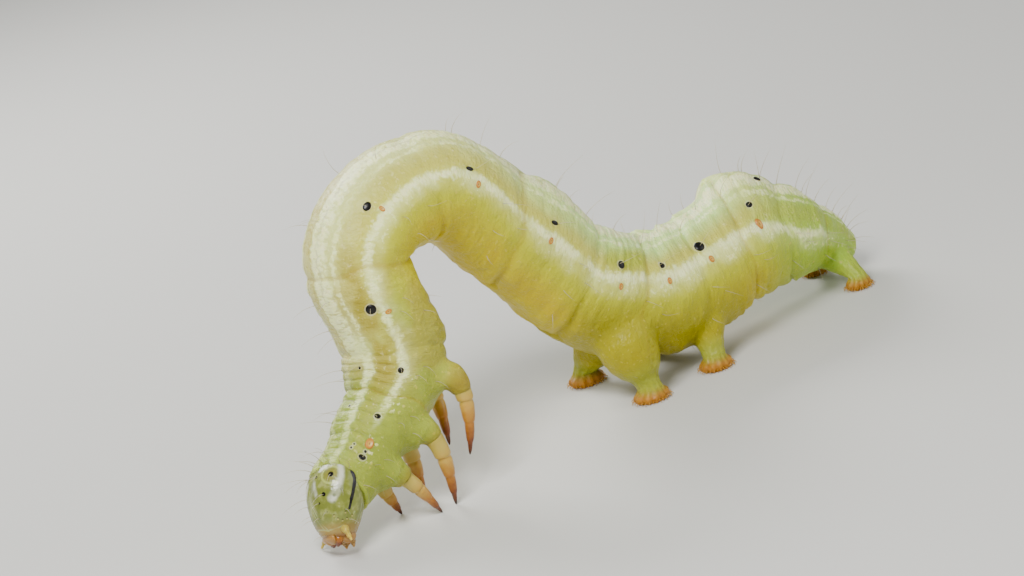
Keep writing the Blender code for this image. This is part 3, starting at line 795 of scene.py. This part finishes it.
# Unevenness of the capsule: size, height. Seams: depth, half width.
UNEVEN = ((0.22, 0.010), (0.09, 0.006))
SEAM = (0.014, 0.022)
HEAD_SIDES = 176
HEAD_ROWS = eased(HEAD_RINGS, 14)
HEAD_TAIL, HEAD_FACE, HEAD_LEFT = face_frame(HEAD_TILT, *NECK[1:3])
HEAD_CENTRE = CENTRES[0] - body_frame(0.0)[1] * HEAD_AHEAD - HEAD_TAIL * HEAD_BELOW
# Lines of the capsule: radius, then points (down, degrees from the face to the left side).
SUTURES = ((0.012, (-1.28, 0), (-0.05, 0)), (0.012, (-0.08, 0), (0.30, 13), (0.86, 34)),
           (0.010, (0.02, 0), (0.36, 7), (0.84, 24)), (0.012, (0.80, 0), (0.82, 18), (0.88, 36)),
           (0.010, (0.40, 108), (0.80, 74), (0.86, 40)),
           (0.010, (-0.70, 150), (0.20, 132), (0.75, 118)))
# Simple eyes: how far down, degrees from the face. Each has a dark cup below it, a little higher.
LENSES = ((0.46, 58), (0.58, 66), (0.64, 77), (0.60, 88), (0.40, 84), (0.52, 102))
CUP_RADIUS = 0.020
CUP_HIGHER = 0.03


def clamped(value):
    """The value, held between 0 and 1."""
    return min(max(value, 0.0), 1.0)


def head_local(down, turn, proud=0.0):
    """Point of the capsule in its own axes: to the left side, to the face, down."""
    at = next((i for i in range(1, len(HEAD_ROWS)) if HEAD_ROWS[i][0] > down), len(HEAD_ROWS) - 1)
    upper, lower = HEAD_ROWS[at - 1], HEAD_ROWS[at]
    u = clamped((down - upper[0]) / (lower[0] - upper[0]))
    wide, deep, shift = (upper[c] + (lower[c] - upper[c]) * u for c in (1, 2, 3))
    folded = math.atan2(math.sin(turn), math.cos(turn))
    cleft = CLEFT_DEPTH * bell(folded / CLEFT_HALF_ANGLE) * clamped(CLEFT_END - down)
    return Vector(((HEAD_WIDTH / 2 * wide + proud) * math.sin(turn),
                   (HEAD_DEPTH / 2 * deep + proud) * math.cos(turn) * (1.0 - cleft) + shift, down))


def head_world(local):
    """A point of the head's own axes in the larva's frame."""
    return HEAD_CENTRE + HEAD_LEFT * local.x + HEAD_FACE * local.y - HEAD_TAIL * local.z


def head_spot(down, angle, side):
    """A place on the capsule, in the larva's frame, and the way straight out of it."""
    turn = side * math.radians(angle)
    spot = head_world(head_local(down, turn))
    return spot, (head_world(head_local(down, turn, 0.1)) - spot).normalized()


def from_marks(local, paths):
    """Distance from a point of the head to the nearest edge of the marks, the same on both sides."""
    point = Vector((abs(local.x), local.y, local.z))
    nearest = 9.0
    for radius, *path in paths:
        for a, b in zip(path, path[1:] or path):
            along = clamped((point - a).dot(b - a) / max((b - a).length_squared, 1e-9))
            nearest = min(nearest, (point - a - (b - a) * along).length - radius)
    return nearest


def drawn(rows):
    """Rows of marks with their points put on the capsule."""
    return [(radius, *(head_local(down, math.radians(angle)) for down, angle in path))
            for radius, *path in rows]


# Marks in the cuticle, drawn as its lines are: the seams, the black stripe and dots of the cheek,
# the disc round a dot, the white blaze, its grey flecks, and the cups under the simple eyes.
HEAD_MARKS = {
    "seams": drawn(SUTURES),
    "stripe": drawn(((0.046, (-1.04, 105), (-0.86, 106)),
                     (0.074, (-0.84, 106), (-0.60, 110), (-0.38, 106)),
                     (0.064, (-0.38, 106), (0.00, 98)), (0.046, (0.00, 98), (0.28, 93)))),
    "dots": drawn(((0.092, (-0.86, 57)), (0.070, (-0.26, 42)), (0.040, (0.00, 30)),
                   (0.052, (-0.84, 21)), (0.022, (0.46, 22)), (0.022, (0.30, 44)))),
    "disc": drawn(((0.0, (-0.86, 57)),)),
    "blaze": drawn(((0.06, (-1.12, 81), (-0.80, 80), (-0.38, 72)),
                    (0.10, (-0.38, 72), (-0.10, 58)), (0.05, (-0.62, 16), (-0.30, 22)))),
    "grey": drawn(((0.035, (-0.34, 78)), (0.050, (-0.18, 63)), (0.030, (0.04, 62)),
                   (0.025, (0.30, 84)))),
    "eyes": drawn([(CUP_RADIUS, (down - CUP_HIGHER, angle)) for down, angle in LENSES]),
}
rings = []
head_spots = []
for row in HEAD_ROWS:
    ring = []
    for j in range(HEAD_SIDES):
        turn = math.tau * j / HEAD_SIDES
        local = head_local(row[0], turn)
        swell = sum(high * noise.noise(local / size) for size, high in UNEVEN)
        swell -= SEAM[0] * bell(max(from_marks(local, HEAD_MARKS["seams"]), 0.0) / SEAM[1])
        ring.append(head_world(head_local(row[0], turn, swell)))
        head_spots.append(local)
    rings.append(ring)
capsule = grow(rings)
capsule_layers = {name: capsule.verts.layers.float.new(name) for name in (*HEAD_MARKS, "down")}
for vert, local in zip(capsule.verts, head_spots):
    for name, paths in HEAD_MARKS.items():
        vert[capsule_layers[name]] = from_marks(local, paths)
    vert[capsule_layers["down"]] = local.z
# Capsule horn: thin clear cuticle, hard and polished, pale green with a network of faint grooves.
capsule_horn, tree = blank_material("capsule_horn")
place = add(tree, "TexCoord").outputs["Object"]
sources = {name: add(tree, "Attribute", attribute_name=name).outputs["Fac"]
           for name in capsule_layers}
for name, size, detail in (("mottle", 0.30, 2.0), ("flecks", 0.12, 2.0)):
    sources[name] = add(tree, "TexNoise", {
        "Vector": place, "Scale": 1.0 / (size * MM), "Detail": detail})
net = add(tree, "TexVoronoi", {"Vector": place, "Scale": 1.0 / (0.11 * MM)},
          feature="DISTANCE_TO_EDGE")
colour = painted(tree, linear("#747C30"), sources, (
    ("#8A9044", 0.8, ("mottle", 0.42, 0.62)), ("#6E7428", 0.6, ("flecks", 0.60, 0.72)),
    ("#B2B474", 0.4, ("mottle", 0.50, 0.66), ("flecks", 0.56, 0.44)),
    ("#877F2F", 0.6, ("disc", 0.30, 0.16)),
    ("#AFB75E", 0.9, ("disc", 0.36, 0.32), ("disc", 0.25, 0.30)),
    ("#D1D2BE", 0.9, ("blaze", 0.10, -0.04), ("mottle", 0.30, 0.55, 0.4, 1.0)),
    ("#9E813B", 1.0, ("down", 0.54, 0.86, 0.0, 0.85)), ("#905E2A", 1.0, ("down", 0.90, 1.10, 0.0, 0.8)),
    ("#AFB876", 0.7, ("seams", 0.03, 0.0)), ("#70794D", 0.8, ("grey", 0.03, -0.02)),
    ("#4A4422", 0.8, ("eyes", 0.03, 0.00)), ("#0D0907", 1.0, ("dots", 0.012, -0.012)),
    ("#0D0907", 1.0, ("stripe", 0.012, -0.012))))
bump = add(tree, "Bump", {"Height": net, "Strength": 0.25, "Distance": 0.02 * MM})
shader = add(tree, "BsdfPrincipled", {
    "Base Color": colour, "Roughness": 0.24, "Normal": bump, "IOR": 1.5,
    "Subsurface Weight": 0.35, "Subsurface Radius": (1.0, 0.8, 0.35), "Subsurface Scale": 0.3 * MM})
add(tree, "OutputMaterial", {"Surface": shader})
capsule_piece = finished("head_capsule", capsule, capsule_horn)
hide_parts("head")

# Simple eyes: six clear, polished lenses on each cheek, small domes over dark cups, set a little into
# the capsule round them.
LENS_RADIUS = 0.036
LENS_RISE = 0.7
LENS_SUNK = 0.012
lens_mesh = bmesh.new()
for side in (1, -1):
    for down, angle in LENSES:
        spot, out = head_spot(down, angle, side)
        verts = ball(lens_mesh, 16, 10, LENS_RADIUS)
        bmesh.ops.scale(lens_mesh, vec=(1.0, 1.0, LENS_RISE), verts=verts)
        seat = out.to_track_quat("Z", "Y").to_matrix().to_4x4()
        seat.translation = spot - out * LENS_SUNK
        bmesh.ops.transform(lens_mesh, matrix=seat, verts=verts)
# Clear horn: cuticle as clear as glass, tinted amber, with a sharp highlight.
clear_horn, tree = blank_material("clear_horn")
shader = add(tree, "BsdfPrincipled", {
    "Base Color": linear("#A8A050"), "Roughness": 0.14, "IOR": 1.5})
add(tree, "OutputMaterial", {"Surface": shader})
finished("simple_eyes", lens_mesh, clear_horn)

# Mouthparts: the notched upper lip, the maxillae with their jointed palps and the lower lip with
# its spinneret, all soft tan horn round the jaws. They are set in the open end of the capsule.
# Each lump: its place across, to the face and down, and its half sizes across, down and to the face.
UPPER_LIP = ((0.0, 0.41, 1.11), (0.46, 0.22, 0.13))
# On each side: a maxilla, the three joints of its palp, and its inner lobe.
MAXILLA = (((0.34, -0.12, 1.08), (0.20, 0.24, 0.26)), ((0.29, -0.26, 1.27), (0.105, 0.085, 0.11)),
           ((0.30, -0.27, 1.36), (0.070, 0.060, 0.072)),
           ((0.305, -0.275, 1.415), (0.042, 0.045, 0.044)),
           ((0.20, -0.16, 1.30), (0.055, 0.075, 0.055)))
# In the middle: the lower lip and the two joints of the spinneret.
LOWER_LIP = (((0.0, -0.18, 1.10), (0.19, 0.26, 0.19)), ((0.0, -0.16, 1.33), (0.085, 0.075, 0.085)),
             ((0.0, -0.15, 1.41), (0.040, 0.070, 0.040)))
# The upper lip's edge: where it starts, how much it slopes back, depth and half width of its notch.
LIP_EDGE = 1.14
LIP_SLOPE = 0.5
NOTCH = (0.5, 0.06)
LIP_SHADE = 0.06


def lump(bm, centre, size):
    """A rounded lump of the mouth, set in the capsule."""
    verts = ball(bm, 36, 24)
    for vert in verts:
        across, down, ahead = (share * half for share, half in zip(vert.co, size))
        vert.co = head_world(Vector((centre[0] + across, centre[1] + ahead, centre[2] + down)))
    return verts


def head_axes(point):
    """A point of the larva's frame in the head's own axes: across to the left, to the face, down."""
    offset = point - HEAD_CENTRE
    return offset.dot(HEAD_LEFT), offset.dot(HEAD_FACE), -offset.dot(HEAD_TAIL)


def shaded(bm, shares):
    """Stores how dark the horn of a tube is, ring by ring. One share serves for a whole mesh."""
    layer = bm.verts.layers.float.new("share")
    sides = len(bm.verts) // len(shares)
    for index, vert in enumerate(bm.verts):
        vert[layer] = shares[index // sides]


lips = bmesh.new()
for vert in lump(lips, *UPPER_LIP):
    across, _, down = head_axes(vert.co)
    low = max(down - LIP_EDGE, 0.0)
    notch = NOTCH[0] * bell(across / NOTCH[1])
    vert.co += HEAD_TAIL * notch * low - HEAD_FACE * LIP_SLOPE * low
for side in (1, -1):
    for (across, ahead, down), size in MAXILLA:
        lump(lips, (side * across, ahead, down), size)
for centre, size in LOWER_LIP:
    lump(lips, centre, size)
# Amber horn: the outer cuticle of the legs and mouthparts, clear brown, satin, darker where thick.
SHADES = ((0.0, "#A67A3A"), (0.14, "#A67A3A"), (0.24, "#B09E40"), (0.42, "#BEA848"),
          (0.60, "#C0983C"), (0.76, "#AC7018"), (0.90, "#783A0C"), (1.0, "#241006"))
amber_horn, tree = blank_material("amber_horn")
place = add(tree, "TexCoord").outputs["Object"]
share = add(tree, "Attribute", attribute_name="share").outputs["Fac"]
rough = add(tree, "TexNoise", {"Vector": place, "Scale": 1.0 / (0.14 * MM), "Detail": 3.0})
shaken = add(tree, "Math", {0: rough, 1: 0.16, 2: share}, operation="MULTIPLY_ADD")
shaken = add(tree, "Math", {0: shaken, 1: 0.08}, operation="SUBTRACT")
ramp = add(tree, "ValToRGB", {"Fac": shaken})
set_stops(ramp.color_ramp, SHADES)
bump = add(tree, "Bump", {"Height": rough, "Strength": 0.35, "Distance": 0.02 * MM})
shader = add(tree, "BsdfPrincipled", {
    "Base Color": ramp, "Roughness": 0.3, "Normal": bump, "IOR": 1.5,
    "Subsurface Weight": 0.5, "Subsurface Radius": (1.0, 0.7, 0.3), "Subsurface Scale": 0.25 * MM})
add(tree, "OutputMaterial", {"Surface": shader})
shaded(lips, [LIP_SHADE])
finished("lips", lips, amber_horn)

# Jaws: two short, hollow blades of dark brown horn with toothed edges. They are hinged in the lower
# rim of the capsule and meet under the upper lip.
JAW_PLACE = (0.21, 0.19, 1.16)
JAW_SIZE = (0.25, 0.25, 0.20)
# A blade's thinning: how much, over what length. Its teeth: height, closeness, start, length.
BLADE = (0.7, 0.22)
TEETH = (0.05, 70.0, 1.25, 0.16)
# Its shades at the root and at the edge. Where it starts to darken, and over what length.
JAW_SHADES = (0.80, 0.95)
JAW_DARKENS = (1.18, 0.2)
jaws = bmesh.new()
share_layer = jaws.verts.layers.float.new("share")
for side in (1, -1):
    for vert in lump(jaws, (side * JAW_PLACE[0], *JAW_PLACE[1:]), JAW_SIZE):
        across, ahead, down = head_axes(vert.co)
        thinned = BLADE[0] * clamped((down - JAW_PLACE[2]) / BLADE[1])
        vert.co -= HEAD_FACE * (ahead - JAW_PLACE[1]) * thinned
        tooth = TEETH[0] * (0.5 + 0.5 * math.cos(across * TEETH[1]))
        vert.co += HEAD_TAIL * tooth * max(down - TEETH[2], 0.0) / TEETH[3]
        darker = clamped((down - JAW_DARKENS[0]) / JAW_DARKENS[1])
        vert[share_layer] = JAW_SHADES[0] + (JAW_SHADES[1] - JAW_SHADES[0]) * darker
finished("jaws", jaws, amber_horn)

# Antennae: short feelers of three joints on a soft pale base at the corner of the mouth, ending in
# a bristle. Each is grown along a straight line, out and down from the cheek.
# How far down the capsule, degrees from the face, and how much more it points out than down.
ANTENNA_PLACE = (0.88, 84.0)
ANTENNA_SLANT = 1.4
ANTENNA_LENGTH = 0.72
ANTENNA_SHADES = (0.22, 0.46)
ANTENNA_SIDES = 24
# Share along an antenna and radius there: soft base, first joint, second, third.
ANTENNA_SHAPE = ((-0.25, 0.13), (0.02, 0.128), (0.14, 0.110), (0.24, 0.100), (0.28, 0.078),
                 (0.32, 0.072), (0.62, 0.074), (0.66, 0.068), (0.68, 0.048), (0.72, 0.046),
                 (0.90, 0.046), (0.95, 0.036), (1.00, 0.015))
SIDES = ((1, "left"), (-1, "right"))
for side, label in SIDES:
    spot, out = head_spot(*ANTENNA_PLACE, side)
    way = (out * ANTENNA_SLANT - HEAD_TAIL).normalized() * ANTENNA_LENGTH
    rows = eased([(spot + way * share, radius, share) for share, radius in ANTENNA_SHAPE], 3)
    feeler = grow(tube_rings(rows, ANTENNA_SIDES))
    pale, dark = ANTENNA_SHADES
    shaded(feeler, [pale + (dark - pale) * share for point, radius, share in rows])
    feeler_piece = finished("feeler_" + label, feeler, amber_horn)
    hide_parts("antenna_" + label)

# True legs: six legs of amber horn on the hips of the thorax, each of a knee, a shank, a foot and
# one claw. They are grown along the hips' own curves, with a neck at each joint.
# Share along a leg and radius there.
LEG_SHAPE = ((0.18, 0.22), (0.24, 0.28), (0.29, 0.315), (0.33, 0.30), (0.42, 0.285), (0.53, 0.275),
             (0.555, 0.230), (0.575, 0.225), (0.61, 0.240), (0.70, 0.215), (0.745, 0.190),
             (0.765, 0.162), (0.785, 0.158), (0.84, 0.148), (0.895, 0.120), (0.915, 0.092),
             (0.93, 0.080), (0.965, 0.062), (0.99, 0.034), (1.00, 0.012))
LEG_SIDES = 36
FORELEG_GIRTH = 0.86


def joined(parts):
    """One mesh from a list of meshes."""
    whole = parts[0]
    for part in parts[1:]:
        mesh = bpy.data.meshes.new("scratch")
        part.to_mesh(mesh)
        part.free()
        whole.from_mesh(mesh)
        bpy.data.meshes.remove(mesh)
    return whole


legs = []
for name, k, along, spread, near_tip, far_tip, raised, bow, longer in LEGS:
    girth = FORELEG_GIRTH if name == "foreleg" else 1.0
    for side, tip in ((1, near_tip), (-1, far_tip)):
        path = leg_path(k, along, spread, tip, raised, bow, side)
        rows = eased([limb_row(path, share, radius * girth) for share, radius in LEG_SHAPE], 4)
        leg = grow(tube_rings(rows, LEG_SIDES))
        shaded(leg, [share for point, radius, share in rows])
        for vert in leg.verts:
            vert.co.z = max(vert.co.z, 0.0)
        legs.append(leg)
legs_piece = finished("true_legs", joined(legs), amber_horn)
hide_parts(*(row[0] + "_" + label for row in LEGS for side, label in SIDES))

# Crochets: a band of small hooks of amber horn round the sole of each proleg, with which it holds
# on. They are rooted in the soft edge of the sole, a short one and a long one by turns.
CROCHETS = 30
HOOK_LENGTHS = (0.10, 0.14)
HOOK_SHADE = 0.74
# Of a hook: reach as a share of its length, height, radius.
HOOK_SHAPE = ((-0.7, 0.09, 0.020), (0.1, 0.115, 0.019), (0.8, 0.095, 0.015), (1.1, 0.055, 0.010),
              (0.95, 0.016, 0.004))
hooks = []
for name, side, k, along, foot, *radii in PROLEGS:
    for j in range(CROCHETS):
        turn = math.tau * (j + 0.5) / CROCHETS
        lobed = 1.0 + LOBE_DEPTH * math.cos(2 * turn) - LOBE_SHRINK
        out = Vector((math.cos(turn), math.sin(turn), 0.0))
        base = Vector((*foot, 0.0)) - MIDDLE + out * radii[-1] * lobed
        length = HOOK_LENGTHS[j % 2]
        rows = [(base + out * (reach * length) + Vector((0.0, 0.0, rise)), radius)
                for reach, rise, radius in HOOK_SHAPE]
        hooks.append(grow(tube_rings(rows, 6)))
hook_mesh = joined(hooks)
shaded(hook_mesh, [HOOK_SHADE])
finished("crochets", hook_mesh, amber_horn)

# Setae: long, pale, tapering bristles, one on each black plate but the smallest and a set on every
# segment. They curve forward in front and backward behind.
random.seed(7)
SETA_RADIUS = 0.011
SETA_LEAN = 0.45
SETA_STRAY = 0.04
LEANS_FORWARD_BEFORE = 4.5
# Share along a bristle and share of its radius there.
SETA_TAPER = ((-0.04, 1.0), (0.25, 0.85), (0.5, 0.62), (0.75, 0.40), (1.0, 0.12))
SETA_CUTS = (1.0, 0.85, 0.7, 0.55, 0.42, 0.3, 0.2, 0.12)
# On each segment: share along it, angle, length.
SETAE = ((0.30, 12, 0.85), (0.66, 26, 0.95), (0.46, 94, 0.75), (0.64, 104, 0.60),
         (0.44, 124, 0.60), (0.55, 150, 0.45))
PLATE_SETA = 0.9
SMALLEST_WITH_SETA = 0.06
# At the neck and on the anal plate: station, angle, length.
END_SETAE = ((0.10, 8, 0.9), (0.10, 24, 0.9), (0.10, 42, 0.9), (0.10, 60, 0.9),
             (12.95, 10, 0.7), (12.95, 40, 0.7), (12.95, 75, 0.7))
# On the head: how far down, degrees from the face, length.
HEAD_SETAE = ((-0.86, 57, 0.8), (-0.26, 42, 0.8), (0.00, 30, 0.5), (-0.84, 21, 0.8), (0.30, 44, 0.4),
              (0.46, 22, 0.4), (-0.34, 78, 0.6), (0.30, 84, 0.5), (0.62, 96, 0.45),
              (-0.40, 128, 0.6), (1.00, 20, 0.3))
# The box of the solids with a little of each side more, which no bristle leaves.
ALLOWANCE = 0.026
ALLOWED = [(low - ALLOWANCE * (high - low), high + ALLOWANCE * (high - low))
           for low, high in zip(*cad_box)]


def seta(base, way, lean, length):
    """A bristle from its base, leaning over as it rises, shortened to stay near the larva."""
    for cut in SETA_CUTS:
        rows = [(base + (way * u + lean * SETA_LEAN * u * u) * length * cut, SETA_RADIUS * width)
                for u, width in SETA_TAPER]
        tip = rows[-1][0]
        if all(low / MM < value < high / MM for value, (low, high) in zip(tip, ALLOWED)):
            break
    return grow(tube_rings(rows, 4))


def strayed(way, most):
    """A direction that strays from another by chance, to each side by so much at most."""
    return (way + Vector([random.uniform(-most, most) for i in range(3)])).normalized()


bristles = []
rows = [(station, angle, PLATE_SETA) for station, angle, radius, stretch in BLACK_PLATES
        if radius > SMALLEST_WITH_SETA]
rows += [(k + share, angle, length) for k in range(LAST) for share, angle, length in SETAE]
for side, station, turn, (length,) in flank_marks((*rows, *END_SETAE)):
    station = min(station + random.uniform(-SETA_STRAY, SETA_STRAY), LAST - SETA_STRAY / 2)
    here = skin_point(station, turn)
    middle, tail, back, left, half = body_frame(station)
    lean = strayed(tail * (-1.0 if station < LEANS_FORWARD_BEFORE else 0.6), 0.5)
    way = (here - middle).normalized()
    bristles.append(seta(here, way, lean, length * random.uniform(0.75, 1.25)))
for down, angle, length in HEAD_SETAE:
    for side in (1, -1):
        spot, out = head_spot(down, angle, side)
        bristles.append(seta(spot, out, strayed(-HEAD_TAIL, 0.3), length))
# Bristle horn: thin clear cuticle, pale straw in colour, which light passes.
bristle_horn, tree = blank_material("bristle_horn")
shader = add(tree, "BsdfPrincipled", {
    "Base Color": linear("#B9AE8E"), "Roughness": 0.35, "IOR": 1.55})
add(tree, "OutputMaterial", {"Surface": shader})
finished("setae", joined(bristles), bristle_horn)

# The floor, the light and the view: a plain pale floor, soft light from three large panels, and
# the camera in the photograph's direction, turned about its axis as the larva's foothold slopes.
FLOOR_SIZE = 3.0
floor_mesh = bpy.data.meshes.new("floor")
bm = bmesh.new()
bmesh.ops.create_grid(bm, x_segments=1, y_segments=1, size=FLOOR_SIZE)
bm.to_mesh(floor_mesh)
bm.free()
placed("floor", floor_mesh)
# Matt board: uncoated card, which scatters light and shows soft shadows without a sheen.
matt_board, tree = blank_material("matt_board")
shader = add(tree, "BsdfPrincipled", {"Base Color": linear("#CDCCC6"), "Roughness": 0.85})
add(tree, "OutputMaterial", {"Surface": shader})
floor_mesh.materials.append(matt_board)

world = bpy.data.worlds.new("studio")
bpy.context.scene.world = world
world.use_nodes = True
world.node_tree.nodes.clear()
sky = add(world.node_tree, "Background", {"Color": linear("#EDEFF0"), "Strength": 0.25})
add(world.node_tree, "OutputWorld", {"Surface": sky})

# Panels: place and size in millimetres, and watts. Each looks at one point above the floor.
PANELS = (("key_panel", (-44.0, -34.0, 62.0), 30.0, 0.088),
          ("fill_panel", (48.0, -46.0, 34.0), 50.0, 0.018),
          ("rear_panel", (4.0, 60.0, 46.0), 36.0, 0.054))
LIT = Vector((0.0, 0.0, 4.0))
for name, spot, size, watts in PANELS:
    light = bpy.data.lights.new(name, "AREA")
    light.size = size * MM
    light.energy = watts
    lamp = placed(name, light)
    lamp.location = Vector(spot) * MM
    lamp.rotation_euler = (LIT - Vector(spot)).to_track_quat("-Z", "Y").to_euler()

EYE = Vector((-109.95, -154.22, 65.11))
AIM = Vector((-2.26, 0.17, 5.08))
CAMERA_ROLL = 12.86
FOCAL_LENGTH = 215.2
lens = bpy.data.cameras.new("camera")
lens.lens = FOCAL_LENGTH
lens.sensor_width = 36.0
lens.clip_start = 1.0 * MM
camera = placed("camera", lens)
facing = (AIM - EYE).to_track_quat("-Z", "Y").to_matrix()
camera.matrix_world = (facing @ Matrix.Rotation(-math.radians(CAMERA_ROLL), 3, "Z")).to_4x4()
camera.location = EYE * MM
bpy.context.scene.camera = camera
